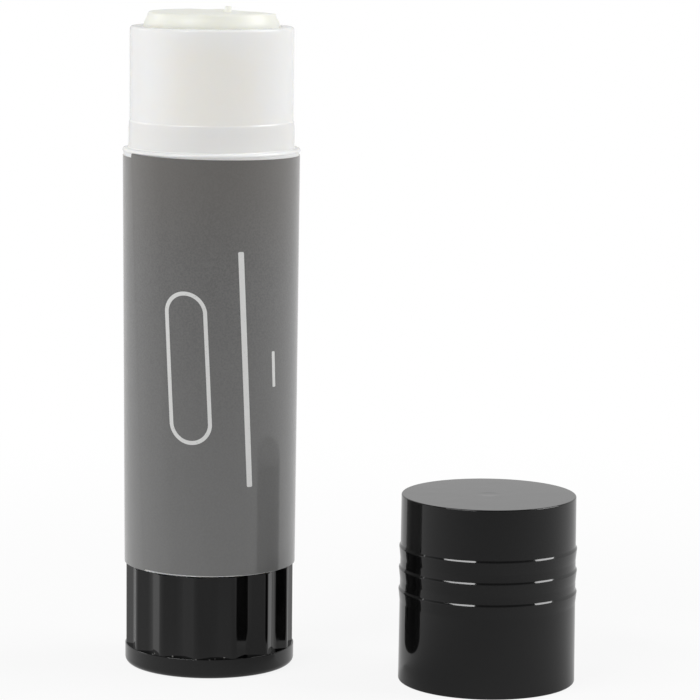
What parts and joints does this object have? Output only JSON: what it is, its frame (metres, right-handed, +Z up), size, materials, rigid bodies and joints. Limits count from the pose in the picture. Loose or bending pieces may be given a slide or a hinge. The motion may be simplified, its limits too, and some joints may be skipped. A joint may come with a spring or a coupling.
{
  "type": "glue stick",
  "caption": "Twist-up glue stick standing open: white barrel and neck with a grey label, black fluted knob on a left-hand screw, pale glue, and a black ringed cap beside it.",
  "frame": {"origin": "centre of the ring that the stick stands on, under its knob", "axes": "+Z up along the stick's axis towards the glue, -Y towards the viewer, +X towards the cap beside it"},
  "size_m": [0.069, 0.0392, 0.1009],
  "materials": {
    "white_translucent": "satin, slightly translucent",
    "grey_film": "satin film",
    "black_gloss": "gloss",
    "glue_mass": "waxy, translucent"
  },
  "bodies": {
    "barrel": {"barrel": "white_translucent", "label": "grey_film"},
    "knob": {"knob": "black_gloss", "spindle": "black_gloss"},
    "carrier": {"carrier": "white_translucent", "glue": "glue_mass"},
    "cap": {"cap": "black_gloss"}
  },
  "joints": [
    {"name": "knob_turn", "type": "hinge", "parent": "barrel", "child": "knob", "pos_m": [0, 0, 0.0168], "axis": [0, 0, 1], "range_deg": [-240, 4605]},
    {"name": "carrier_rise", "type": "slide", "parent": "barrel", "child": "carrier", "axis": [0, 0, 1], "range_m": [-0.0033, 0.0639]},
    {"name": "cap_lift", "type": "slide", "parent": "barrel", "child": "cap", "axis": [0, 0, 1], "range_m": [0, 0.12]}
  ],
  "couplings": [
    {"joint": "knob_turn", "follows": "carrier_rise", "rad_per_m": 1256.6}
  ]
}
